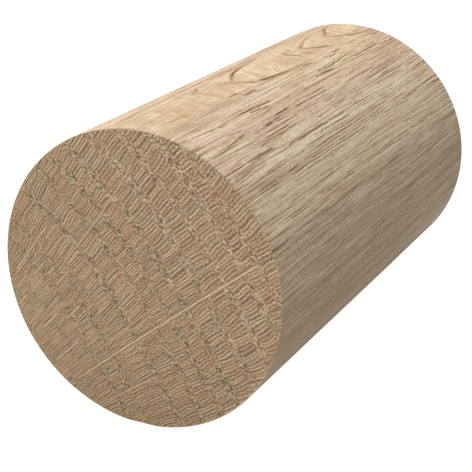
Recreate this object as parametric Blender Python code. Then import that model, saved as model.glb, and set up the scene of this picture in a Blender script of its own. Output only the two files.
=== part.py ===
"""A short length of round oak dowel, lying on its side.

Metres, +Z up. The dowel runs along Y with its front end at -Y. The origin is the middle of the flat
that it rests on, so the surface it lies on is the plane z = 0.
"""

import math

import bmesh
import bpy

# Driving dimensions, in metres
DIAMETER = 0.040
LENGTH = 0.070
ARRIS_WIDTH = 0.0003  # both end edges are eased with one stroke of fine abrasive
REST_FLAT_WIDTH = 0.0042  # narrow flat on the underside that stops the round from rolling

# Fineness of the curved surfaces
ROUND_FACETS = 120
ARRIS_SEGMENTS = 2

# Planed oak: light tan, with a dull satin surface
OAK_COLOUR = (0.50, 0.36, 0.23, 1.0)
OAK_ROUGHNESS = 0.62

# Worked out from the driving dimensions
RADIUS = DIAMETER / 2
REST_FLAT_HALF_ANGLE = math.asin(REST_FLAT_WIDTH / DIAMETER)
AXIS_HEIGHT = RADIUS * math.cos(REST_FLAT_HALF_ANGLE)

# A corner between two facets is smooth, and one between a side and an end is sharp
SMOOTH_LIMIT = math.radians(30)
ARRIS_LIMIT = math.radians(60)


def clear_scene():
    for obj in list(bpy.data.objects):
        bpy.data.objects.remove(obj)


def oak_material():
    material = bpy.data.materials.new("oak")
    material.use_nodes = True
    shader = material.node_tree.nodes["Principled BSDF"]
    shader.inputs["Base Color"].default_value = OAK_COLOUR
    shader.inputs["Roughness"].default_value = OAK_ROUGHNESS
    shader.inputs["Metallic"].default_value = 0.0
    material.diffuse_color = OAK_COLOUR
    return material


def section_corners():
    """The round cross-section as (x, z) corners: an arc from one edge of the rest flat to the other."""
    start = -math.pi / 2 + REST_FLAT_HALF_ANGLE
    sweep = 2 * math.pi - 2 * REST_FLAT_HALF_ANGLE
    corners = []
    for step in range(ROUND_FACETS + 1):
        angle = start + sweep * step / ROUND_FACETS
        corners.append((RADIUS * math.cos(angle), AXIS_HEIGHT + RADIUS * math.sin(angle)))
    return corners


def dowel_mesh():
    """The cross-section as one face at the front end, extruded to the rear end."""
    mesh = bpy.data.meshes.new("dowel")
    shape = bmesh.new()
    front = shape.faces.new([shape.verts.new((x, -LENGTH / 2, z)) for x, z in section_corners()])
    swept = bmesh.ops.extrude_face_region(shape, geom=[front], use_keep_orig=True)
    moved = [item for item in swept["geom"] if isinstance(item, bmesh.types.BMVert)]
    bmesh.ops.translate(shape, verts=moved, vec=(0, LENGTH, 0))
    bmesh.ops.recalc_face_normals(shape, faces=shape.faces)
    shape.to_mesh(mesh)
    shape.free()
    mesh.shade_smooth()
    mesh.set_sharp_from_angle(angle=SMOOTH_LIMIT)
    return mesh


def ease_arrises(obj):
    """Rounds the two end edges. The rest flat's long edges are far too blunt to be caught by the limit."""
    bevel = obj.modifiers.new("eased_arrises", "BEVEL")
    bevel.width = ARRIS_WIDTH
    bevel.segments = ARRIS_SEGMENTS
    bevel.limit_method = "ANGLE"
    bevel.angle_limit = ARRIS_LIMIT


def make_dowel(material):
    dowel = bpy.data.objects.new("dowel", dowel_mesh())
    bpy.context.scene.collection.objects.link(dowel)
    dowel.data.materials.append(material)
    ease_arrises(dowel)
    return dowel


clear_scene()
make_dowel(oak_material())
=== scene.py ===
import math

import bpy
import numpy as np
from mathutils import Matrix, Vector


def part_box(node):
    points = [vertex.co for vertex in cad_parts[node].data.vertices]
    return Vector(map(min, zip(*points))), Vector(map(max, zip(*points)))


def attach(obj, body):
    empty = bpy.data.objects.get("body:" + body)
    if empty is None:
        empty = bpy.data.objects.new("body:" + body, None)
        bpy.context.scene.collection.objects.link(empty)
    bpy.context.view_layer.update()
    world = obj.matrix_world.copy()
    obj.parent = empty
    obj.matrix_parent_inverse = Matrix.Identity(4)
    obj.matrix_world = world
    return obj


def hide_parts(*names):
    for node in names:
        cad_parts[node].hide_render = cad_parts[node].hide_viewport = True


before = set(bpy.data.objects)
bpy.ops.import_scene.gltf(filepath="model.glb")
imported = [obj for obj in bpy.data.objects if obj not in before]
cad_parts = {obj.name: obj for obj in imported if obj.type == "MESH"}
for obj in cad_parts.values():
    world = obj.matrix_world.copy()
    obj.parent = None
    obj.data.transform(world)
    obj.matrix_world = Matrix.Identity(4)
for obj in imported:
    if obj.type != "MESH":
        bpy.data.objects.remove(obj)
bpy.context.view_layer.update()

# The dowel's real size, in millimetres, read from the frame. It lies along Y and rests on z = 0.
lowest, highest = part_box("dowel")
diameter = (highest.x - lowest.x) * 1000
length = (highest.y - lowest.y) * 1000
radius = diameter / 2
axisHeight = (highest.z - lowest.z) * 1000 - radius
restHalfAngle = math.degrees(math.acos(axisHeight / radius))  # the rest flat spans this either side of down
print("frame: dowel", round(diameter, 2), "mm across,", round(length, 2), "mm long")


# Shape of the dowel. Lengths are in millimetres and angles in degrees, measured at the axis from +X up.
dowelShape = {
    "arris": 0.14,            # both end edges are eased with one stroke of fine abrasive
    "arrisSteps": 3,
    "cellsAcross": 208,       # end cells across the rays, fine enough for their pitch
    "cellsOutward": 96,       # end cells from ring to ring
    "sideSteps": 92,          # rows between the two eased edges
}

# Growth, as the sawn ends show it
growth = {
    "pithDistance": 84.0,     # from the dowel's axis to the middle of the tree
    "outwardBearing": 44.9,   # the way from the pith to the axis
    "ringLean": 0.125,        # rings lean by this much of the way across the rays
    "ringSway": 0.3,          # and sway to either side
    "swayPitch": 31.0,
    "rings": [                # where each starts, out from the axis, and how strong its pores are
        (-22.0, 0.35), (-19.5, 0.35), (-17.5, 0.4), (-15.4, 0.4), (-12.2, 0.75), (-9.8, 0.6),
        (-8.0, 0.25), (-4.8, 0.9), (-1.2, 0.8), (1.6, 0.9), (4.4, 1.0), (8.0, 1.1), (11.4, 0.9),
        (14.6, 0.95), (17.0, 0.75), (20.4, 0.6),
    ],
    "poreBand": 1.1,          # width of each ring's band of large pores
    "pitChance": 0.42,        # share of the band's points that sink as single pores
    "rayPitch": 0.52,         # spacing of the fine rays
    "rayWander": 0.08,        # how far they step aside, over a few millimetres
}

# Broad rays on the ends: place across at the axis, slope, bend, half width, where each starts and stops,
# and strength
broadRays = [
    (16.0, -0.01, 0.0, 0.13, -14.0, -9.0, 1.0), (14.0, -0.03, 0.0, 0.12, -15.0, -2.0, 0.9),
    (12.1, -0.03, 0.0, 0.12, -17.0, -10.0, 0.95), (10.0, -0.04, 0.0, 0.13, -19.0, -12.5, 1.0),
    (11.2, -0.03, 0.0, 0.12, -13.5, -6.5, 0.95), (9.2, 0.035, 0.003, 0.095, -10.0, 14.0, 0.9),
    (7.7, -0.02, 0.0, 0.12, -12.0, -4.5, 0.95), (5.5, -0.03, 0.0, 0.12, -8.5, -1.5, 0.9),
    (2.9, -0.03, 0.0, 0.12, -14.5, -7.0, 1.0), (0.4, -0.02, 0.0, 0.12, -10.0, -3.0, 0.9),
    (-2.3, -0.02, 0.0, 0.12, -15.0, -8.0, 0.95), (6.6, -0.03, 0.0, 0.12, -20.0, -12.0, 0.95),
    (4.3, -0.04, 0.0, 0.13, -18.5, -10.5, 1.0), (1.7, -0.02, 0.0, 0.12, -19.5, -13.0, 0.95),
    (-0.9, -0.02, 0.0, 0.13, -20.5, -11.0, 1.0), (-3.7, -0.01, 0.0, 0.11, -16.0, 14.5, 0.75),
    (-6.05, -0.045, 0.0, 0.14, -19.5, 18.5, 1.0), (-9.0, -0.05, 0.0, 0.1, -17.5, -8.0, 0.75),
    (-11.95, -0.06, 0.0, 0.13, -17.0, -3.5, 0.85),
]

# Long grain of the side. The arches and strokes below are placed as in the photograph, by angle and by
# distance from the front end; the loose strokes fill the rest of the round.
longGrain = {
    "fibrePitch": 0.62,
    "wander": 60.0,           # length over which a fibre line drifts by its own pitch
    "darkStrokes": 760,
    "paleStrokes": 420,
    "strokeRun": (4.0, 18.0),  # shortest and longest loose stroke
    "looseWidth": 0.17,       # half width of a loose pale stroke, in millimetres
    "looseShare": 0.8,        # its strength beside that of a placed one
    "streakWidth": 0.45,      # half width of a placed pale streak
    "crest": 88.5,            # angle of the middle of the arches
    "archReach": 3.0,         # beyond this distance a point is on no arch
    # From one angle to another, the share of their darkness that loose strokes keep
    "faintSpans": [(-60.0, 44.0, 0.4), (52.0, 80.0, 0.4), (80.0, 98.0, 0.15)],
}

# Growth rings that come to the surface near the top, as lines of (angle, distance, darkness)
arches = [
    [
        (78.6, 42, 0.1), (79.2, 38, 0.35), (80.2, 34, 0.7), (81.4, 30.6, 1.0), (82.2, 28.8, 0.15),
        (83.2, 27.8, 0.75), (85.5, 27.0, 0.5), (88.0, 26.3, 0.6), (89.4, 25.6, 0.3), (91.5, 27.2, 0.35),
        (94.5, 29.2, 0.6), (96.2, 30.8, 1.0), (98.2, 33.6, 0.8), (99.6, 37.5, 0.35), (100.6, 42, 0.1),
    ],
    [(86.0, 45.4, 0.3), (87.6, 44.9, 0.7), (90.0, 44.5, 0.8), (92.4, 45.0, 0.3)],
    [(82.6, 48.2, 0.2), (83.8, 47.7, 0.55), (85.4, 47.4, 0.2)],
    [(92.0, 47.2, 0.2), (93.4, 47.5, 0.45), (94.4, 48.2, 0.2)],
    [
        (79.4, 57.5, 0.1), (81.8, 54.4, 0.3), (83.4, 52.4, 0.6), (85.6, 51.0, 0.7), (88.4, 49.9, 0.45),
        (90.0, 49.4, 0.4), (92.2, 51.4, 0.5), (95.0, 54.6, 0.35), (98.6, 60.0, 0.2), (100.4, 66, 0.1),
    ],
    [
        (79.0, 70.5, 0.3), (79.8, 67.0, 0.4), (81.2, 64.0, 0.5), (83.0, 62.4, 0.65), (84.8, 61.4, 0.6),
        (87.0, 60.0, 0.55), (89.4, 59.3, 0.5), (91.4, 59.8, 0.5), (93.6, 61.8, 0.55), (96.4, 63.4, 0.6),
        (98.4, 65.6, 0.5), (100.2, 70.5, 0.2),
    ],
    [(102.6, 6, 0.1), (103.2, 16, 0.4), (104.0, 34, 0.4), (105.4, 62, 0.4), (105.6, 70.5, 0.3)],
]

# Open pores that show from a step away: angle and distance of one end, of the other end, and darkness
darkPlaced = [
    (72.4, -0.5, 71.9, 2.0, 0.7), (71.6, 2.6, 70.2, 7.6, 0.6), (70.1, 7.6, 69.4, 9.8, 0.85),
    (69.5, 9.8, 69.8, 11.2, 0.6), (73.0, 4.8, 73.2, 6.6, 0.5), (63.5, -0.5, 63.4, 2.1, 0.8),
    (66.4, -0.5, 66.2, 1.8, 0.7), (59.6, 3.2, 60.8, 6.2, 0.6), (60.9, 6.2, 61.9, 11.4, 0.75),
    (65.0, 8.2, 64.3, 11.0, 0.6), (64.2, 11.0, 63.1, 13.8, 0.6), (70.5, 14.8, 70.3, 19.6, 1.0),
    (68.8, 17.4, 68.6, 20.2, 0.9), (68.2, 20.2, 67.9, 22.0, 0.9), (70.2, 19.8, 69.7, 23.6, 1.0),
    (60.8, 16.2, 60.7, 19.0, 1.0), (61.0, 19.0, 61.3, 21.6, 0.6), (62.8, 21.2, 63.0, 24.6, 0.9),
    (78.5, 21.8, 78.3, 25.4, 1.2), (81.5, 18.8, 81.2, 21.8, 1.4), (95.6, 18.4, 96.6, 20.8, 1.7),
    (54.4, 11.2, 55.0, 13.6, 0.7), (55.0, 13.6, 54.8, 19.0, 0.55), (48.8, -0.5, 49.4, 8.0, 0.5),
    (49.3, 8.0, 49.0, 18.0, 0.4), (59.2, 24.0, 58.6, 32.0, 0.6), (61.4, 26.6, 61.6, 31.0, 0.8),
    (61.7, 31.0, 61.3, 36.6, 0.65), (53.2, 28.0, 53.5, 39.0, 0.6), (45.7, 8.0, 45.8, 14.0, 0.5),
    (45.9, 20.0, 45.7, 26.0, 0.5), (44.6, 29.5, 44.6, 37.0, 0.5), (41.2, -0.5, 41.2, 9.0, 0.45),
    (56.6, 17.8, 56.5, 21.2, 0.5), (79.2, 27.0, 79.4, 32.0, 0.4), (57.2, 33.0, 57.2, 37.0, 0.5),
    (63.3, 33.0, 63.4, 37.4, 0.5), (69.5, 39.6, 69.3, 41.9, 1.0), (69.2, 42.0, 68.6, 45.2, 0.95),
    (68.1, 45.2, 67.9, 48.4, 0.6), (71.5, 41.8, 71.4, 44.4, 0.95), (71.0, 44.4, 71.0, 47.0, 1.0),
    (71.2, 47.0, 71.3, 50.0, 0.95), (70.1, 49.6, 70.0, 53.2, 0.7), (71.9, 50.0, 72.0, 53.4, 0.8),
    (72.1, 53.2, 71.8, 56.4, 0.6), (69.2, 53.6, 69.2, 56.6, 0.7), (78.0, 40.8, 77.4, 43.4, 0.9),
    (75.6, 48.6, 75.4, 51.2, 0.7), (77.0, 51.0, 76.9, 54.4, 0.9), (74.8, 51.2, 74.5, 54.0, 0.6),
    (74.8, 58.6, 74.6, 62.4, 0.6), (77.5, 57.6, 77.2, 61.0, 0.6), (69.6, 57.6, 69.5, 63.2, 0.9),
    (71.2, 59.6, 71.0, 63.4, 0.6), (68.5, 63.6, 68.2, 67.2, 0.95), (67.8, 67.0, 67.8, 70.5, 0.9),
    (75.6, 66.6, 75.4, 70.5, 0.9), (52.2, 39.8, 52.0, 44.4, 0.5), (56.3, 49.6, 56.1, 57.4, 0.55),
    (59.5, 48.6, 59.4, 53.4, 0.5), (59.6, 63.6, 59.4, 70.5, 0.5), (64.6, 50.6, 64.5, 55.4, 0.5),
    (40.6, 50.6, 40.5, 58.4, 0.45), (100.8, 2.0, 101.2, 44.0, 0.3),
]

# Pale streaks, in the same way, each about 0.8 mm wide
palePlaced = [
    (47.2, 12.0, 47.6, 24.0, 0.9), (47.9, 25.0, 47.8, 36.0, 0.7), (53.0, 5.0, 53.3, 12.5, 0.7),
    (53.4, 17.0, 53.3, 34.0, 0.8), (46.8, 34.0, 46.8, 47.5, 0.7), (46.9, 50.0, 47.1, 62.0, 0.7),
    (51.8, 44.0, 51.6, 50.0, 0.5), (34.0, 2.0, 34.4, 40.0, 0.35), (37.0, 30.0, 36.6, 68.0, 0.35),
    (67.4, 2.0, 67.2, 12.0, 0.5), (75.5, 12.0, 76.0, 34.0, 0.45), (73.8, 38.0, 73.8, 48.0, 0.5),
]


def swells(across, outward, pitch, count, seed):
    # Sum of plane waves about as long as the pitch, each with a direction and a phase of its own, from -1
    # to 1 or so
    draw = np.random.default_rng(seed)
    total = np.zeros_like(across)
    for wave in range(count):
        heading = draw.uniform(0.0, math.pi)
        period = pitch * draw.uniform(0.75, 1.35)
        phase = draw.uniform(0.0, 2 * math.pi)
        ahead = across * math.cos(heading) + outward * math.sin(heading)
        total += np.cos(2 * math.pi * ahead / period + phase)
    return total / math.sqrt(count / 2)


def roundRipples(angle, along, pitch, reach, count, seed):
    # The same on the round: each wave has a whole number of turns about the axis, so it closes on itself
    draw = np.random.default_rng(seed)
    total = np.zeros_like(angle)
    for wave in range(count):
        turns = round(math.pi * diameter / (pitch * draw.uniform(0.7, 1.5)))
        slope = draw.normal(0.0, 1.0) / reach
        phase = draw.uniform(0.0, 2 * math.pi)
        total += np.cos(np.radians(angle) * turns + 2 * math.pi * along * slope + phase)
    return total / math.sqrt(count / 2)


def hump(distance, width):
    # A bell: the square of distance over width, as the power of e
    return np.exp(-((distance / width) ** 2))


def endPattern(x, z):
    # Polar coordinates about the pith, less the axis's own: the arc across the rays and the way outward.
    # A ring's place is the way outward less a lean and a sine, and its number is read between the starts.
    # The pore band is a sum of bells at the starts, and a broad ray is a bell across its line.
    bearing = math.radians(growth["outwardBearing"])
    far = growth["pithDistance"]
    fromPithX = x + far * math.cos(bearing)
    fromPithZ = z + far * math.sin(bearing)
    across = far * (np.arctan2(fromPithZ, fromPithX) - bearing)
    outward = np.hypot(fromPithX, fromPithZ) - far
    sway = growth["ringSway"] * np.sin(2 * math.pi * across / growth["swayPitch"])
    ringPlace = outward - growth["ringLean"] * across - sway
    starts, weights = np.array(growth["rings"]).T
    ring = np.interp(ringPlace, starts, np.arange(len(starts)))
    nearest = np.abs(ringPlace[:, None] - starts[None, :])
    band = (weights * np.exp(-((nearest / growth["poreBand"]) ** 2) * 3)).sum(1)
    finePlace = (across + growth["rayWander"] * swells(across, outward, 4.0, 12, 7)) / growth["rayPitch"]
    broad = np.zeros_like(across)
    for place, slope, bend, width, start, stop, strength in broadRays:
        aside = across - place - slope * outward - bend * outward ** 2
        inReach = np.clip((outward - start) / 1.5, 0, 1) * np.clip((stop - outward) / 1.5, 0, 1)
        broad = np.maximum(broad, strength * inReach * hump(aside, 1.5 * width))
    return across, outward, ring, band, finePlace, broad


def archPattern(angle, along):
    # Distance to the nearest arch, less than 0 in front of it, and the arch's darkness there. A segment's
    # nearest point is at the share of its length that the dot product gives, held between 0 and 1.
    reach = longGrain["archReach"]
    arc = np.radians(angle % 360) * radius
    nearest = np.full_like(angle, reach)
    darkness = np.zeros_like(angle)
    for line in arches:
        for (angleA, alongA, darkA), (angleB, alongB, darkB) in zip(line, line[1:]):
            arcA, arcB = math.radians(angleA) * radius, math.radians(angleB) * radius
            stepX, stepY = arcB - arcA, alongB - alongA
            share = ((arc - arcA) * stepX + (along - alongA) * stepY) / (stepX ** 2 + stepY ** 2)
            share = np.clip(share, 0, 1)
            offX = arc - arcA - share * stepX
            offY = along - alongA - share * stepY
            off = np.hypot(offX, offY)
            nearer = off < np.abs(nearest)
            behind = np.sign(offY * stepX - offX * stepY)
            nearest = np.where(nearer, off * behind, nearest)
            darkness = np.where(nearer, darkA + share * (darkB - darkA), darkness)
    return nearest, darkness * np.clip(reach - np.abs(nearest), 0, 1)


def looseStrokes(count, seed):
    # Strokes along the grain anywhere on the round, each nearly parallel to the axis. They bunch: where two
    # sines of the angle add up to little, and in the faint spans, a stroke keeps a share of its darkness.
    draw = np.random.default_rng(seed)
    strokes = []
    for stroke in range(count):
        place = draw.uniform(-92.0, 268.0)
        lean = draw.normal(0.0, 0.25)
        start = draw.uniform(-8.0, length)
        run = draw.uniform(*longGrain["strokeRun"])
        bunching = math.sin(math.radians(place * 23)) + math.sin(math.radians(place * 37))
        kept = 1.0 if bunching > -0.4 else 0.4
        for low, high, share in longGrain["faintSpans"]:
            kept *= share if low < place < high else 1.0
        darkness = kept * draw.uniform(0.3, 0.85) ** 1.3
        strokes.append((place, start, place + lean, start + run, darkness))
    return strokes


def besideStroke(angle, along, angleA, start, angleB, stop):
    # The points near a stroke, and how far aside of it each lies. Its angle changes evenly from end to end.
    aside = (angle - (angleA + angleB) / 2 + 180) % 360 - 180
    beside = np.abs(aside) < abs(angleB - angleA) / 2 + 3.0
    near = np.flatnonzero(beside & (along > start - 0.8) & (along < stop + 0.8))
    share = np.clip((along[near] - start) / (stop - start), 0, 1)
    return near, np.radians(aside[near] - (share - 0.5) * (angleB - angleA)) * radius


def nearestStroke(angle, along, strokes):
    # The nearest stroke at each point: how far aside it lies, less than 0 on one side of it, and its
    # darkness. The points' columns are closer together over two quarters of the round, and a stroke is
    # kept to the columns beside it. Beyond its ends it fades over half a millimetre.
    apart = np.where((angle % 180) < 90, 0.17, 0.36)
    closest = np.full_like(angle, 9.0)
    offset = np.full_like(angle, 1.0)
    darkness = np.zeros_like(angle)
    for angleA, start, angleB, stop, dark in strokes:
        near, off = besideStroke(angle, along, angleA, start, angleB, stop)
        beyond = np.clip(np.maximum(start - along[near], along[near] - stop), 0, 1)
        away = np.abs(off) + 2 * beyond - 0.15 * dark
        nearer = away < closest[near]
        inReach = np.clip((1.3 * apart[near] - np.abs(off)) / (0.3 * apart[near]), 0, 1)
        kept = inReach * np.clip(1 - 2 * beyond, 0, 1)
        closest[near] = np.where(nearer, away, closest[near])
        offset[near] = np.where(nearer, off, offset[near])
        darkness[near] = np.where(nearer, dark * kept, darkness[near])
    return offset, darkness


def paleStrokes(angle, along, strokes, width):
    # The strongest stroke at each point: its strength times a bell across it, fading over its last 0.5 mm
    strongest = np.zeros_like(angle)
    for angleA, start, angleB, stop, strength in strokes:
        near, off = besideStroke(angle, along, angleA, start, angleB, stop)
        inReach = np.clip((along[near] - start) / 0.5, 0, 1) * np.clip((stop - along[near]) / 0.5, 0, 1)
        strongest[near] = np.maximum(strongest[near], strength * inReach * hump(off, width))
    return strongest


def sidePattern(angle, along):
    # Fibre lines on the round, dark strokes and pale strokes
    fibres = roundRipples(angle, along, longGrain["fibrePitch"], longGrain["wander"], 26, 11)
    strokeOff, dark = nearestStroke(angle, along, darkPlaced + looseStrokes(longGrain["darkStrokes"], 13))
    loose = paleStrokes(angle, along, looseStrokes(longGrain["paleStrokes"], 17), longGrain["looseWidth"])
    placed = paleStrokes(angle, along, palePlaced, longGrain["streakWidth"])
    return fibres, strokeOff, dark, np.maximum(longGrain["looseShare"] * loose, placed)


def endGrid():
    # Unit square to unit disc: each side's steps are even in angle at the rim, and
    # a point (u, v) goes to (u sqrt(1 - v v / 2), v sqrt(1 - u u / 2)), so the cells follow the rays
    quarter = math.pi / 4
    u = math.sqrt(2) * np.sin(np.linspace(-quarter, quarter, dowelShape["cellsAcross"] + 1))
    v = math.sqrt(2) * np.sin(np.linspace(-quarter, quarter, dowelShape["cellsOutward"] + 1))
    u, v = np.meshgrid(u, v, indexing="ij")
    across = u * np.sqrt(1 - v * v / 2)
    outward = v * np.sqrt(1 - u * u / 2)
    bearing = math.radians(growth["outwardBearing"])
    x = across * math.sin(bearing) + outward * math.cos(bearing)
    z = -across * math.cos(bearing) + outward * math.sin(bearing)
    return x, z


def rimDistance(angle):
    # The round, cut off by the rest flat: the flat is axisHeight from the axis, measured straight down
    turn = np.abs((angle + 90 + 180) % 360 - 180)
    flat = axisHeight / np.cos(np.radians(np.minimum(turn, restHalfAngle)))
    return np.where(turn < restHalfAngle, flat, radius)


def rimOrder(indices):
    # Walks once round the edge of an index grid
    return np.concatenate([indices[:-1, 0], indices[-1, :-1], indices[:0:-1, -1], indices[0, :0:-1]])


def quads(grid):
    # The four corners of each cell of an index grid
    return np.stack([grid[:-1, :-1], grid[1:, :-1], grid[1:, 1:], grid[:-1, 1:]], -1).reshape(-1, 4)


# Relief, in millimetres, all of it below the model's own surface
relief = {
    "poreBand": 0.03,         # the open pores of each ring's band sink below the dense wood
    "pit": 0.03,              # single large pores in the band
    "fineRay": 0.006,
    "broadRay": 0.01,         # hard rays stand proud of the sawn face
    "fibre": 0.005,
    "openPore": 0.03,
    "poreWidth": 0.15,        # half width of an open pore's groove on the round
    "deepestEnd": 0.22,
    "deepestSide": 0.15,
}


def addObject(name, data):
    holder = bpy.data.objects.new(name, data)
    bpy.context.scene.collection.objects.link(holder)
    return holder


def makeDowel():
    # An end is the unit disc times the rim's distance at each angle, with its relief as depth along Y.
    # The side is the same rim carried along Y, and its relief is depth towards the axis.
    x, z = endGrid()
    capIndex = np.arange(x.size).reshape(x.shape)
    angle = np.degrees(np.arctan2(z, x))
    capRadius = rimDistance(angle) - dowelShape["arris"]
    capX = (x * capRadius).ravel()
    capZ = (z * capRadius).ravel()
    band, finePlace, broad = endPattern(capX, capZ)[3:]
    draw = np.random.default_rng(21)
    pits = (draw.random(capX.size) < growth["pitChance"] * band) * draw.uniform(0.4, 1.0, capX.size)
    endDepth = relief["poreBand"] * band + relief["pit"] * pits
    endDepth += relief["fineRay"] * (1 - np.cos(2 * math.pi * finePlace)) * (1 - np.minimum(band, 1))
    endDepth = np.clip(endDepth + relief["broadRay"] * (1 - broad), 0, relief["deepestEnd"])

    # Rows from the front rim over the eased edge, along the side, and over the far edge. rowSide is 1 on
    # the side and 0 on an end.
    arris = dowelShape["arris"]
    ease = np.linspace(0, math.pi / 2, dowelShape["arrisSteps"] + 1)
    easeInset = arris * (1 - np.sin(ease))
    easeAlong = arris * (1 - np.cos(ease))
    straight = np.linspace(arris, length - arris, dowelShape["sideSteps"] + 1)[1:-1]
    rowAlong = np.concatenate([easeAlong, straight, length - easeAlong[::-1]])
    rowInset = np.concatenate([easeInset, 0 * straight, easeInset[::-1]])
    rowSide = np.concatenate([np.sin(ease), 0 * straight + 1, np.sin(ease[::-1])])
    rim = rimOrder(capIndex)
    rimAngle = angle.ravel()[rim]
    rowEnd = np.where(rowAlong < length / 2, 1, -1) * np.sqrt(1 - np.minimum(rowSide, 1) ** 2)
    gridAngle, gridAlong = np.meshgrid(rimAngle, rowAlong)
    fibres, strokeOff, dark = sidePattern(gridAngle.ravel(), gridAlong.ravel())[:3]
    grooves = relief["openPore"] * dark * hump(strokeOff, relief["poreWidth"])
    sideDepth = np.clip(relief["fibre"] * (2 - fibres) + grooves, 0, relief["deepestSide"])
    rimDepth = endDepth[rim][None, :]
    sideDepth = sideDepth.reshape(gridAngle.shape)
    distance = rimDistance(gridAngle) - rowInset[:, None] - rowSide[:, None] * sideDepth
    sideX = distance * np.cos(np.radians(gridAngle))
    sideZ = distance * np.sin(np.radians(gridAngle))
    sideY = gridAlong + rowEnd[:, None] * rimDepth

    # Points: front end, rear end, then the rows between the two rims
    inner = slice(1, len(rowAlong) - 1)
    px = np.concatenate([capX, capX, sideX[inner].ravel()])
    py = np.concatenate([endDepth, length - endDepth, sideY[inner].ravel()])
    pz = np.concatenate([capZ, capZ, sideZ[inner].ravel()])
    points = np.stack([px, py - length / 2, pz + axisHeight], -1) / 1000

    capCount = x.size
    rowIndex = 2 * capCount + np.arange((len(rowAlong) - 2) * len(rim)).reshape(-1, len(rim))
    rows = np.concatenate([rim[None, :], rowIndex, rim[None, :] + capCount])
    rows = np.concatenate([rows, rows[:, :1]], 1)
    frontFaces = quads(capIndex)
    rearFaces = quads(capIndex)[:, ::-1] + capCount
    faces = np.concatenate([frontFaces, rearFaces, quads(rows)])
    isSide = (np.arange(len(faces)) >= 2 * len(frontFaces)).astype(int)

    mesh = bpy.data.meshes.new("oak_dowel")
    mesh.vertices.add(len(points))
    mesh.vertices.foreach_set("co", points.ravel())
    mesh.loops.add(faces.size)
    mesh.loops.foreach_set("vertex_index", faces.ravel())
    mesh.polygons.add(len(faces))
    mesh.polygons.foreach_set("loop_start", np.arange(0, faces.size, 4))
    mesh.polygons.foreach_set("material_index", isSide)
    mesh.update(calc_edges=True)
    mesh.validate()
    mesh.shade_smooth()

    # What the materials read, worked out once more for every point from its own place
    allAngle = np.degrees(np.arctan2(pz, px))
    across, outward, ring, band, finePlace = endPattern(px, pz)[:5]
    strokeOff, dark, pale = sidePattern(allAngle, py)[1:]
    archOff, archDark = archPattern(allAngle, py)
    fromCrest = np.abs(np.radians((allAngle - longGrain["crest"] + 180) % 360 - 180)) * radius
    allPits = np.concatenate([pits, pits, np.zeros(len(px) - 2 * capCount)])
    readable = {
        "endGrain": (across, outward, ring),
        "endMarks": (band, finePlace, allPits),
        "toneAndPaintedLight": toneAndPaintedLight(allAngle),
        "sideMarks": (strokeOff, dark, pale),
        "sideArch": (archOff, archDark, fromCrest),
    }
    for name, columns in readable.items():
        attribute = mesh.attributes.new(name, "FLOAT_VECTOR", "POINT")
        attribute.data.foreach_set("vector", np.stack(columns, -1).astype(np.float32).ravel())

    piece = addObject("oak_dowel", mesh)
    mesh.materials.append(sawnEndMaterial())
    mesh.materials.append(sandedSideMaterial())
    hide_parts("dowel")
    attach(piece, "root")
    print("dowel:", len(mesh.vertices), "points,", 2 * len(mesh.polygons), "triangles")
    return piece


# Tone of the long grain round the dowel, with painted light in it: angle, how pale, how warm and how
# strongly lined. From about -20 to 20 degrees, the side turned away from the main light, the wood is
# made darker and greyer as painted shade. Along both edges of the outline, about -36 to -24 and 98 to
# 112 degrees, it is made paler and warmer as a painted highlight of light bounced from the floor and of
# rim light.
toneAndPaintedLightByAngle = [
    (-92, 0.5, 0.5, 0.4), (-60, 0.5, 0.7, 0.3), (-36, 0.85, 1.0, 0.3), (-31, 1.0, 0.9, 0.35),
    (-24, 0.8, 0.4, 0.45), (-20, 0.58, 0.1, 0.5), (-6, 0.36, 0.0, 0.55), (5, 0.4, 0.0, 0.6),
    (20, 0.57, 0.1, 0.8), (34, 0.74, 0.2, 1.0), (42, 0.61, 0.1, 1.0), (50, 0.67, 0.2, 1.0),
    (60, 0.62, 0.6, 1.0), (68, 0.65, 0.6, 0.95), (74, 0.54, 0.6, 0.85), (80, 0.53, 0.5, 0.65),
    (88, 0.54, 0.4, 0.35), (98, 0.61, 0.6, 0.6), (104, 0.78, 1.0, 0.7), (112, 0.85, 0.9, 0.7),
    (130, 0.55, 0.5, 0.6), (170, 0.5, 0.4, 0.7), (220, 0.5, 0.4, 0.9), (268, 0.5, 0.5, 0.5),
]


def toneAndPaintedLight(angle):
    # The three tones at each angle, painted shade and painted highlights included, on a straight line
    # between the rows of the table
    places, *tones = np.array(toneAndPaintedLightByAngle).T
    turned = (angle - places[0]) % 360 + places[0]
    return [np.interp(turned, places, values) for values in tones]


def linear(hexColour):
    # sRGB to linear: c / 12.92 up to 0.04045, and above it (c + 0.055) / 1.055 to the power of 2.4
    parts = [int(hexColour[i:i + 2], 16) / 255 for i in (1, 3, 5)]
    return tuple(c / 12.92 if c <= 0.04045 else ((c + 0.055) / 1.055) ** 2.4 for c in parts) + (1.0,)


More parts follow.
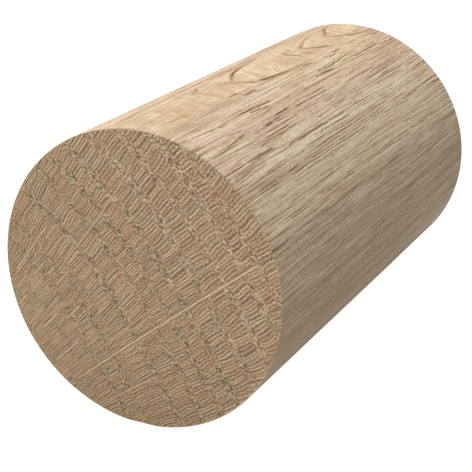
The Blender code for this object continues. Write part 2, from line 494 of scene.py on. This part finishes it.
def addNode(tree, kind, inputs=None, stops=None, **settings):
    # Adds one node. Inputs are a list in the sockets' own order, such as value, from min, from max, to min
    # and to max, or a dictionary by name. Each is a value, a hex colour, a socket, or a node, whose first
    # live output is taken.
    new = tree.nodes.new("ShaderNode" + kind)
    for name, value in settings.items():
        setattr(new, name, value)
    if isinstance(inputs, list):
        inputs = dict(enumerate(inputs))
    for name, value in (inputs or {}).items():
        live = [socket for socket in new.inputs if socket.enabled]
        socket = live[name] if isinstance(name, int) else next(s for s in live if s.name == name)
        if isinstance(value, bpy.types.Node):
            value = next(output for output in value.outputs if output.enabled)
        if isinstance(value, bpy.types.NodeSocket):
            tree.links.new(value, socket)
        else:
            socket.default_value = linear(value) if isinstance(value, str) else value
    if stops:
        ramp = new.color_ramp
        while len(ramp.elements) > 1:
            ramp.elements.remove(ramp.elements[-1])
        ramp.elements[0].position, ramp.elements[0].color = stops[0][0], linear(stops[0][1])
        for position, colour in stops[1:]:
            ramp.elements.new(position).color = linear(colour)
    return new


def emptyTree(owner):
    # A material's or the world's own node tree, with nothing in it
    owner.use_nodes = True
    owner.node_tree.nodes.clear()
    return owner.node_tree


def numbersAt(tree, name):
    # The three numbers that each point of the mesh holds under this name
    vector = addNode(tree, "Attribute", attribute_name=name).outputs["Vector"]
    return addNode(tree, "SeparateXYZ", [vector]).outputs


def streaks(tree, place, size, turned=0, detail=2.0, roughness=0.6, **settings):
    # Noise with grains of this size, in the units of the place, turned by some degrees about the third axis
    turn = (0, 0, math.radians(turned))
    inputs = {"Vector": place, "Rotation": turn, "Scale": size}
    sized = addNode(tree, "Mapping", inputs, vector_type="TEXTURE")
    inputs = {"Vector": sized, "Scale": 1.0, "Detail": detail, "Roughness": roughness}
    return addNode(tree, "TexNoise", inputs, **settings)


def wander(tree, off, noise, reach):
    # A distance that a noise moves to either side: noise times reach, plus distance, less half the reach
    moved = addNode(tree, "Math", [noise, reach, off], operation="MULTIPLY_ADD")
    return addNode(tree, "Math", [moved, reach / 2], operation="SUBTRACT")


def tinted(tree, wood, noise, look, tints, mask=None):
    # Lays tints over the wood by a noise: each begins at one value of it and has its full share at another
    for begins, full, most, colour in look[tints]:
        share = addNode(tree, "MapRange", [noise, begins, full, 0.0, most])
        if mask:
            share = addNode(tree, "Math", [share, mask], operation="MULTIPLY")
        wood = addNode(tree, "Mix", [share, wood, look[colour]], data_type="RGBA")
    return wood


def fromLine(tree, place, number, draw, reach):
    # How far a place is from the line of this number: the size of their difference, less what the line's
    # own draw moves it by, up to the reach either way
    moved = addNode(tree, "MapRange", [draw, 0.0, 1.0, -reach, reach])
    aside = addNode(tree, "Math", [place, number], operation="SUBTRACT")
    offset = addNode(tree, "Math", [aside, moved], operation="SUBTRACT")
    return addNode(tree, "Math", [offset], operation="ABSOLUTE")


def fibreLines(tree, turns, along, sway, count, halfWidth, run):
    # Thin lines along the grain, this many round the dowel, which drift with the sway. White noise read
    # at the line's own number moves it aside and sets its weight, and a noise read there and along the
    # grain breaks it up.
    share = count / (math.pi * diameter)
    drift = addNode(tree, "Math", [sway, 1.6 * share], operation="MULTIPLY")
    place = addNode(tree, "Math", [turns, float(count), drift], operation="MULTIPLY_ADD")
    number = addNode(tree, "Math", [place], operation="ROUND")
    wrapped = addNode(tree, "Math", [number, float(count)], operation="FLOORED_MODULO")
    draw = addNode(tree, "TexWhiteNoise", {"W": wrapped}, noise_dimensions="1D").outputs["Color"]
    asideDraw, weight = addNode(tree, "SeparateXYZ", [draw]).outputs[:2]
    off = fromLine(tree, place, number, asideDraw, 0.3)
    ownX = addNode(tree, "Math", [wrapped, 3.7], operation="MULTIPLY")
    ownY = addNode(tree, "Math", [along, 1 / run], operation="MULTIPLY")
    own = addNode(tree, "CombineXYZ", [ownX, ownY])
    inputs = {"Vector": own, "Scale": 1.0, "Detail": 4.0, "Roughness": 0.7}
    noise = addNode(tree, "TexNoise", inputs, noise_dimensions="2D")
    broken = addNode(tree, "MapRange", [noise, 0.42, 0.58])
    weighed = addNode(tree, "MapRange", [weight, 0.0, 1.0, 0.25, 1.0])
    strength = addNode(tree, "Math", [broken, weighed], operation="MULTIPLY")
    width = halfWidth * share
    line = addNode(tree, "MapRange", [off, width, width * 0.3])
    return addNode(tree, "Math", [line, strength], operation="MULTIPLY")


def rungs(tree, finePlace, ring, often):
    # Fine rays between two rings, like the rungs of a ladder: each a thin pale line with a dark gap
    # beside it. The rungs of each ring step aside by a draw of that ring. White noise read at the numbers
    # of rung and ring moves each rung a little and sets how strong the line and the gap are.
    ringNumber = addNode(tree, "Math", [ring], operation="FLOOR")
    step = addNode(tree, "TexWhiteNoise", {"W": ringNumber}, noise_dimensions="1D")
    place = addNode(tree, "Math", [finePlace, often, step], operation="MULTIPLY_ADD")
    number = addNode(tree, "Math", [place], operation="ROUND")
    key = addNode(tree, "CombineXYZ", [number, ringNumber])
    draw = addNode(tree, "TexWhiteNoise", {"Vector": key}, noise_dimensions="2D").outputs["Color"]
    asideDraw, lineDraw, gapDraw = addNode(tree, "SeparateXYZ", [draw]).outputs
    off = fromLine(tree, place, number, asideDraw, 0.18)
    line = addNode(tree, "MapRange", [off, 0.22, 0.05])
    strength = addNode(tree, "MapRange", [lineDraw, 0.15, 1.0, 0.06, 0.56])
    pale = addNode(tree, "Math", [line, strength], operation="MULTIPLY")
    gap = addNode(tree, "MapRange", [off, 0.28, 0.46, 0.0, -0.48])
    gapStrength = addNode(tree, "MapRange", [gapDraw, 0.0, 1.0, 0.3])
    dark = addNode(tree, "Math", [gap, gapStrength], operation="MULTIPLY")
    return addNode(tree, "Math", [pale, dark], operation="ADD")


# Sawn end: the cut ends of the fibres drink light, so it is darker and duller than the side
sawnEnd = {
    "dark": "#775c43",
    "middle": "#bf9b74",
    "light": "#dcbd96",
    "pale": "#f9dfb9",
    "bandTint": "#dde1d2",    # grey-green of the pore bands, which the wood's own colour is multiplied by
    "warmTint": "#ca9172",
    "coolTint": "#a8a080",
    # Tints: the noise where each begins, where it is strongest, its share there, and its colour
    "patches": [(0.5, 0.75, 0.38, "warmTint"), (0.48, 0.25, 0.2, "coolTint")],
    "pore": "#5d4f3b",
    "broadRay": "#fbe2bd",
    "besideRay": "#a8855f",
    "rungsWide": 1.2,         # fine rays drawn for each ray pitch
    "rungsClose": 1.55,       # and on the pith's side of the axis
    "closeStrength": 1.42,
    "gritStrength": 2.3,
    "shadeOffset": 0.672,     # taken off, so that the wood is in the middle shades
    "dotSize": (0.2, 0.18, 1),  # pores in the bands, in millimetres
    "rayWaver": 0.14,         # millimetres
    "roughness": 0.78,
}


def sawnEndMaterial():
    material = bpy.data.materials.new("sawn oak end grain")
    tree = emptyTree(material)
    look = sawnEnd
    grain = addNode(tree, "Attribute", attribute_name="endGrain").outputs["Vector"]
    across, outward, ring = addNode(tree, "SeparateXYZ", [grain]).outputs
    band, finePlace, pit = numbersAt(tree, "endMarks")

    # Fine rays crinkle a little over 1 mm. They are 0.43 mm apart, and 0.34 mm on the pith's side, where
    # they also stand out more, but for the strip lowest down.
    crinkle = streaks(tree, grain, (0.9, 1.2, 1), noise_dimensions="2D")
    crinkled = addNode(tree, "Math", [crinkle, 0.2, finePlace], operation="MULTIPLY_ADD")
    wide = rungs(tree, crinkled, ring, look["rungsWide"])
    close = rungs(tree, crinkled, ring, look["rungsClose"])
    outer = addNode(tree, "MapRange", [outward, 0.0, 5.0])
    lower = addNode(tree, "MapRange", [across, -6.0, -10.0])
    wideShare = addNode(tree, "Math", [outer, lower], operation="MAXIMUM")
    closeStrong = addNode(tree, "Math", [close, look["closeStrength"]], operation="MULTIPLY")
    rung = addNode(tree, "Mix", [wideShare, closeStrong, wide], data_type="FLOAT")
    grit = streaks(tree, grain, (0.14, 0.22, 1), roughness=0.75, noise_dimensions="2D")
    gritty = addNode(tree, "Math", [grit, look["gritStrength"], rung], operation="MULTIPLY_ADD")
    centred = addNode(tree, "Math", [gritty, look["shadeOffset"]], operation="SUBTRACT")

    # Bands of open pores at the start of each ring: there dots 0.2 mm across take the place of the rays
    broken = streaks(tree, grain, (1.6, 0.9, 1), detail=3.0, noise_dimensions="2D")
    ragged = addNode(tree, "Math", [broken, band], operation="MULTIPLY")
    bandShare = addNode(tree, "MapRange", [ragged, 0.08, 0.32])
    dotPlace = addNode(tree, "Mapping", {"Vector": grain, "Scale": look["dotSize"]}, vector_type="TEXTURE")
    dots = addNode(tree, "TexVoronoi", {"Vector": dotPlace, "Scale": 1.0}, voronoi_dimensions="2D")
    dotDraw = addNode(tree, "SeparateXYZ", {"Vector": dots.outputs["Color"]}).outputs["X"]
    dotDistance = dots.outputs["Distance"]
    rounded = addNode(tree, "MapRange", [dotDistance, 0.1, 0.75])
    dotMixed = addNode(tree, "Mix", [0.55, rounded, dotDraw], data_type="FLOAT")
    dotted = addNode(tree, "MapRange", [dotMixed, 0.29, 0.63])
    speck = streaks(tree, grain, (0.2, 0.2, 1), detail=1.0, noise_dimensions="2D")
    specked = addNode(tree, "MapRange", [speck, 0.32, 0.68])
    mottled = addNode(tree, "Mix", [0.15, dotted, specked], data_type="FLOAT")
    height = addNode(tree, "Mix", [bandShare, centred, mottled], data_type="FLOAT")
    shades = [(0.1, look["dark"]), (0.42, look["middle"]), (0.68, look["light"]), (1.0, look["pale"])]
    wood = addNode(tree, "ValToRGB", [height], stops=shades)

    # Patches of warmer and cooler wood, a few millimetres across
    patch = streaks(tree, grain, (2.2, 3.0, 1), noise_dimensions="2D")
    patched = tinted(tree, wood, patch, look, "patches")

    # The pore bands are tinted, most strongly towards the pith
    inner = addNode(tree, "MapRange", [outward, 9.0, 4.0, 0.15])
    inPatches = addNode(tree, "MapRange", [broken, 0.38, 0.6, 0.0, 0.9])
    patchShare = addNode(tree, "Math", [inner, inPatches], operation="MULTIPLY")
    tintShare = addNode(tree, "Math", [bandShare, patchShare], operation="MULTIPLY")
    banded = addNode(tree, "Mix", [tintShare, patched, look["bandTint"]],
                     data_type="RGBA", blend_type="MULTIPLY")
    pitShare = addNode(tree, "Math", [pit, 0.35], operation="MULTIPLY")
    pored = addNode(tree, "Mix", [pitShare, banded, look["pore"]], data_type="RGBA")

    # Broad rays: how many of its own half widths the nearest one is away. Each is a thin pale line that
    # wavers a little, and the wood just beside it is plain and slightly darker.
    waver = streaks(tree, grain, (5.0, 2.2, 1), detail=1.0, noise_dimensions="2D")
    wavering = wander(tree, across, waver, look["rayWaver"])
    squared = addNode(tree, "Math", [outward, outward], operation="MULTIPLY")
    nearest = None
    for where, slope, bend, width, start, stop, strength in broadRays:
        leaning = addNode(tree, "Math", [outward, -slope, wavering], operation="MULTIPLY_ADD")
        bent = addNode(tree, "Math", [squared, -bend, leaning], operation="MULTIPLY_ADD")
        aside = addNode(tree, "Math", [bent, where], operation="SUBTRACT")
        off = addNode(tree, "Math", [aside], operation="ABSOLUTE")
        begun = addNode(tree, "MapRange", [outward, start, start + 2, 3.0, 1 - strength])
        ended = addNode(tree, "MapRange", [outward, stop - 3, stop, 0.0, 3.0])
        beyond = addNode(tree, "Math", [begun, ended], operation="ADD")
        away = addNode(tree, "Math", [off, 1 / width, beyond], operation="MULTIPLY_ADD")
        nearest = addNode(tree, "Math", [away, nearest], operation="MINIMUM") if nearest else away
    beside = addNode(tree, "MapRange", [nearest, 2.8, 1.4, 0.0, 0.55])
    sided = addNode(tree, "Mix", [beside, pored, look["besideRay"]], data_type="RGBA")
    rayLine = addNode(tree, "MapRange", [nearest, 1.0, 0.35])
    rayMottle = streaks(tree, grain, (0.22, 0.6, 1), detail=1.0, noise_dimensions="2D")
    rayWorn = addNode(tree, "MapRange", [rayMottle, 0.3, 0.6, 0.6])
    rayShare = addNode(tree, "Math", [rayLine, rayWorn], operation="MULTIPLY")
    rayed = addNode(tree, "Mix", [rayShare, sided, look["broadRay"]], data_type="RGBA")

    bump = addNode(tree, "Bump", {"Height": height, "Strength": 0.25, "Distance": 0.00002})
    shader = addNode(tree, "BsdfPrincipled", {"Base Color": rayed, "Roughness": look["roughness"],
                                              "Normal": bump})
    addNode(tree, "OutputMaterial", {"Surface": shader})
    return material


# Sanded side: long fibres, cut pores as dark strokes, and the growth rings as arches near the top
sandedSide = {
    "dark": "#8d7860",
    "brown": "#b0977d",
    "middle": "#cab292",
    "light": "#dec6a7",
    "pale": "#f1dec2",
    "warm": "#dca97f",
    "creamStripe": "#dfcca3",
    "pinkStripe": "#cfac8e",
    "pinkPatch": "#dcbb9f",
    "greyLine": "#6c4d1e",
    "redLine": "#7e4717",
    "paleLine": "#f6e5c8",
    "paleFibre": "#f2e4d0",   # streaks of denser, nearly grey fibres
    "pore": "#6c4819",
    "archLine": "#70481f",
    "archGlow": "#c08a54",
    "tan": "#bf9662",         # soft bars and clouds over the crest
    # Tints, as on the ends
    "stripes": [(0.48, 0.3, 0.5, "creamStripe"), (0.52, 0.7, 0.5, "pinkStripe")],
    "patches": [(0.5, 0.68, 0.45, "pinkPatch")],
    "clouds": [(0.5, 0.7, 0.45, "pale"), (0.5, 0.3, 0.45, "tan")],
    # Bars: middle, in millimetres from the front end, half width and strength
    "crestBars": [(8.6, 1.4, "#d0d0d0"), (12.6, 1.0, "#404040"), (15.6, 1.0, "#505050"),
                  (19.2, 1.3, "#c0c0c0"), (24.4, 1.6, "#b0b0b0"), (40.6, 2.0, "#404040")],
    "barReach": 80.0,         # length that their ramp spans
    "barStrength": 2.3,
    "strokeWander": 0.3,      # how far in all noise moves a stroke, in millimetres
    "archWander": 0.5,
    "shadeOffset": 1.13,
    "roughness": 0.58,
}


def sandedSideMaterial():
    material = bpy.data.materials.new("sanded oak long grain")
    tree = emptyTree(material)
    look = sandedSide
    solid = addNode(tree, "TexCoord").outputs["Object"]
    # Paleness and warmth by angle: they hold the painted shade on the side away from the main light and the
    # painted highlights along both edges of the outline
    pale, warm, lined = numbersAt(tree, "toneAndPaintedLight")
    strokeOff, darkStroke, paleStroke = numbersAt(tree, "sideMarks")
    archOff, archDark, fromCrest = numbersAt(tree, "sideArch")

    # Turns round the axis, from the arc tangent of the object's own z and x, and millimetres from the front
    solidX, solidY, solidZ = addNode(tree, "SeparateXYZ", [solid]).outputs
    aboveAxis = addNode(tree, "Math", [solidZ, axisHeight / 1000], operation="SUBTRACT")
    angle = addNode(tree, "Math", [aboveAxis, solidX], operation="ARCTAN2")
    turns = addNode(tree, "Math", [angle, 1 / (2 * math.pi)], operation="MULTIPLY")
    along = addNode(tree, "Math", [solidY, 1000.0, length / 2], operation="MULTIPLY_ADD")

    # Stripes 1.2 mm across, blotches 0.5 mm and fibres 0.3 mm, all much longer than wide, and fine grit
    stripe = streaks(tree, solid, (0.0012, 0.06, 0.0012), roughness=0.5)
    fine = streaks(tree, solid, (0.0003, 0.016, 0.0003), detail=3.0, roughness=0.7)
    # The paleness by angle, painted shade and painted highlights with it, sets the base shade here
    striped = addNode(tree, "Math", [stripe, 0.8, pale], operation="MULTIPLY_ADD")
    fineShare = addNode(tree, "MapRange", [lined, 0.0, 1.0, 0.35, 1.1])
    centred = addNode(tree, "Math", [fine, 0.5], operation="SUBTRACT")
    fined = addNode(tree, "Math", [centred, fineShare], operation="MULTIPLY")
    shade = addNode(tree, "Math", [striped, fined], operation="ADD")
    blotch = streaks(tree, solid, (0.0005, 0.012, 0.0005), detail=3.0)
    blotched = addNode(tree, "Math", [blotch, 0.6, shade], operation="MULTIPLY_ADD")
    grit = streaks(tree, solid, (0.00017, 0.0006, 0.00017), detail=1.0)
    gritty = addNode(tree, "Math", [grit, blotched], operation="ADD")
    toned = addNode(tree, "Math", [gritty, look["shadeOffset"]], operation="SUBTRACT")
    names = ("dark", "brown", "middle", "light", "pale")
    shades = [(0.25 * step, look[name]) for step, name in enumerate(names)]
    wood = addNode(tree, "ValToRGB", [toned], stops=shades)
    # The warm tint follows the warmth by angle, so it also lays a painted warm highlight along both edges
    # of the outline
    warmShare = addNode(tree, "Math", [warm, stripe], operation="MULTIPLY")
    warmth = addNode(tree, "Math", [warmShare, 0.45], operation="MULTIPLY")
    warmed = addNode(tree, "Mix", [warmth, wood, look["warm"]], data_type="RGBA")
    hue = streaks(tree, solid, (0.0016, 0.045, 0.0016), detail=1.0)
    striping = tinted(tree, warmed, hue, look, "stripes")

    # Patches of pinker wood, which show where the side is warm and hardly elsewhere
    flush = streaks(tree, solid, (0.003, 0.006, 0.003), detail=1.0)
    warmHere = addNode(tree, "MapRange", [warm, 0.0, 0.5, 0.2])
    flushed = tinted(tree, striping, flush, look, "patches", warmHere)

    # Pale and dark fibre lines, in sets that drift apart so that lines join and part
    swayOne = streaks(tree, solid, (0.004, 0.036, 0.004))
    swayTwo = streaks(tree, solid, (0.0035, 0.022, 0.0035))
    darkLine = addNode(tree, "Mix", [warm, look["greyLine"], look["redLine"]], data_type="RGBA")
    lineSets = [
        (swayTwo, 190, 0.13, 15.0, look["paleLine"]),
        (swayOne, 330, 0.105, 12.0, darkLine),
        (swayTwo, 230, 0.105, 9.0, darkLine),
    ]
    colour = flushed
    for sway, count, halfWidth, run, lineColour in lineSets:
        drawn = fibreLines(tree, turns, along, sway, count, halfWidth, run)
        lineShare = addNode(tree, "Math", [drawn, lined], operation="MULTIPLY")
        colour = addNode(tree, "Mix", [lineShare, colour, lineColour], data_type="RGBA")

    # Strokes: mottled pale fibres, then open pores as brown lines 0.15 to 0.3 mm wide, with breaks
    mottle = streaks(tree, solid, (0.00028, 0.0016, 0.00028), detail=1.0)
    mottled = addNode(tree, "MapRange", [mottle, 0.3, 0.6, 0.1, 0.85])
    greyed = addNode(tree, "Math", [paleStroke, mottled], operation="MULTIPLY")
    greyish = addNode(tree, "Mix", [greyed, colour, look["paleFibre"]], data_type="RGBA")
    dash = streaks(tree, solid, (0.0004, 0.0014, 0.0004), detail=1.0)
    dashed = addNode(tree, "MapRange", [dash, 0.3, 0.42])
    strokeNoise = streaks(tree, solid, (0.0009, 0.0028, 0.0009), detail=1.0)
    strokeWavy = wander(tree, strokeOff, strokeNoise, look["strokeWander"])
    strokeAside = addNode(tree, "Math", [strokeWavy], operation="ABSOLUTE")
    strokeEdge = addNode(tree, "Math", [darkStroke, -0.07, strokeAside], operation="MULTIPLY_ADD")
    strokeLine = addNode(tree, "MapRange", [strokeEdge, 0.09, -0.01])
    strokeShare = addNode(tree, "MapRange", [darkStroke, 0.1, 0.85])
    strokeDrawn = addNode(tree, "Math", [strokeLine, strokeShare], operation="MULTIPLY")
    poreShare = addNode(tree, "Math", [strokeDrawn, dashed], operation="MULTIPLY")
    pored = addNode(tree, "Mix", [poreShare, greyish, look["pore"]], data_type="RGBA")

    # Across the crest, soft tan bars at the places in the ramp, and clouds of paler and darker wood
    onCrest = addNode(tree, "MapRange", [fromCrest, 3.4, 1.8])
    reach = look["barReach"]
    barPlace = addNode(tree, "Math", [along, 1 / reach], operation="MULTIPLY")
    barStops = [(0.0, "#000000")]
    for middle, half, strength in look["crestBars"]:
        edges = [(middle - half, "#000000"), (middle, strength), (middle + half, "#000000")]
        barStops += [(edge / reach, shade) for edge, shade in edges]
    barRamp = addNode(tree, "ValToRGB", [barPlace], stops=barStops)
    barNoise = streaks(tree, solid, (0.0025, 0.003, 0.0025), detail=1.0)
    barMark = addNode(tree, "Math", [barRamp, barNoise], operation="MULTIPLY")
    barShown = addNode(tree, "Math", [barMark, look["barStrength"]], operation="MULTIPLY")
    barShare = addNode(tree, "Math", [barShown, onCrest], operation="MULTIPLY")
    barred = addNode(tree, "Mix", [barShare, pored, look["tan"]], data_type="RGBA")
    cloud = streaks(tree, solid, (0.0026, 0.0015, 0.0026), turned=-20)
    clouded = tinted(tree, barred, cloud, look, "clouds", onCrest)

    # Arches: a brown line 0.5 mm wide with a soft tan glow in front of it, darker where more pores are cut
    wobble = streaks(tree, solid, (0.0009, 0.0014, 0.0009))
    archOffset = wander(tree, archOff, wobble, look["archWander"])
    archReach = longGrain["archReach"]
    archPlace = addNode(tree, "MapRange", [archOffset, -archReach, archReach])
    glow = addNode(tree, "ValToRGB", [archPlace],
                   stops=[(0.15, "#000000"), (0.4, "#606060"), (0.48, "#e0e0e0"), (0.58, "#000000")])
    glowMark = addNode(tree, "Math", [glow, archDark], operation="MULTIPLY")
    glowing = addNode(tree, "Mix", [glowMark, clouded, look["archGlow"]], data_type="RGBA")
    archLine = addNode(tree, "ValToRGB", [archPlace],
                       stops=[(0.42, "#000000"), (0.46, "#a0a0a0"), (0.48, "#ffffff"), (0.52, "#ffffff"),
                              (0.54, "#a0a0a0"), (0.58, "#000000")])
    archStrong = addNode(tree, "Math", [archDark, 1.15], operation="MULTIPLY")
    lineMark = addNode(tree, "Math", [archLine, archStrong], operation="MULTIPLY")
    archedWood = addNode(tree, "Mix", [lineMark, glowing, look["archLine"]], data_type="RGBA")

    height = addNode(tree, "Math", [fine, poreShare], operation="SUBTRACT")
    bump = addNode(tree, "Bump", {"Height": height, "Strength": 0.25, "Distance": 0.00003})
    shader = addNode(tree, "BsdfPrincipled", {"Base Color": archedWood, "Roughness": look["roughness"],
                                              "Specular IOR Level": 0.2, "Normal": bump})
    addNode(tree, "OutputMaterial", {"Surface": shader})
    return material


# The studio: a wide pale floor, a soft main light from above, behind and to the left, a weak one in front
studio = {
    "floorSize": 8.0,         # metres
    "floorDrop": 0.00003,     # so that the rest flat and the floor aren't one surface
    "floorSeen": "#9c9c9c",
    "floorBounce": "#b2b1b0",  # what the floor gives back to the dowel
    "floorGlow": 0.95,        # the paper is overexposed, as in the photo, so its shadows nearly vanish
    "keyTowards": (-0.30, 0.30, 0.95),
    "keyStrength": 2.35,
    "keySoftness": 50.0,      # degrees across
    "fillTowards": (-0.50, -0.85, 0.08),
    "fillStrength": 1.35,
    "fillSoftness": 80.0,
    "skyStrength": 0.415,
}


def makeFloor():
    half = studio["floorSize"] / 2
    drop = -studio["floorDrop"]
    corners = [(-half, -half, drop), (half, -half, drop), (half, half, drop), (-half, half, drop)]
    mesh = bpy.data.meshes.new("floor")
    mesh.from_pydata(corners, [], [(0, 1, 2, 3)])
    floor = addObject("floor", mesh)
    material = bpy.data.materials.new("white paper sweep")
    tree = emptyTree(material)
    path = addNode(tree, "LightPath").outputs["Is Camera Ray"]
    colour = addNode(tree, "Mix", [path, studio["floorBounce"], studio["floorSeen"]], data_type="RGBA")
    paper = addNode(tree, "BsdfDiffuse", {"Color": colour})
    strength = addNode(tree, "MapRange", [path, 0.0, 1.0, 0.0, studio["floorGlow"]])
    glow = addNode(tree, "Emission", {"Color": "#ffffff", "Strength": strength})
    shader = addNode(tree, "AddShader", [paper, glow])
    addNode(tree, "OutputMaterial", {"Surface": shader})
    mesh.materials.append(material)


def makeSun(name, towards, strength, softness):
    # A lamp shines along its own -Z, so its Z is turned to point at where the light comes from
    lamp = bpy.data.lights.new(name, "SUN")
    lamp.energy = strength
    lamp.angle = math.radians(softness)
    x, y, z = towards
    addObject(name, lamp).rotation_euler = (math.atan2(math.hypot(x, y), z), 0, math.atan2(x, -y))


def makeStudio():
    makeFloor()
    for name in ("key", "fill"):
        makeSun(name + " light", *[studio[name + part] for part in ("Towards", "Strength", "Softness")])
    world = bpy.data.worlds.new("studio")
    tree = emptyTree(world)
    path = addNode(tree, "LightPath").outputs["Is Camera Ray"]
    strength = addNode(tree, "MapRange", [path, 0.0, 1.0, studio["skyStrength"]])
    sky = addNode(tree, "Background", {"Color": "#ffffff", "Strength": strength})
    addNode(tree, "OutputWorld", {"Surface": sky})
    bpy.context.scene.world = world
    bpy.context.scene.view_settings.view_transform = "Standard"
    print("studio: floor, two soft lights and a white surround")


# The photograph's view, fitted to the dowel's outline
viewpoint = {
    "place": (0.0806, -0.1689, 0.0846),
    "turnedLeft": 26.53,      # degrees, from looking along +Y
    "lookingDown": 20.56,
    "lens": 102.3,
}


def makeCamera():
    camera = bpy.data.cameras.new("camera")
    camera.lens = viewpoint["lens"]
    camera.clip_start = 0.01
    holder = addObject("camera", camera)
    tilt = 90 - viewpoint["lookingDown"]
    holder.location = viewpoint["place"]
    holder.rotation_euler = (math.radians(tilt), 0, math.radians(viewpoint["turnedLeft"]))
    bpy.context.scene.camera = holder
    print("camera: in place")


makeCamera()
makeStudio()
makeDowel()
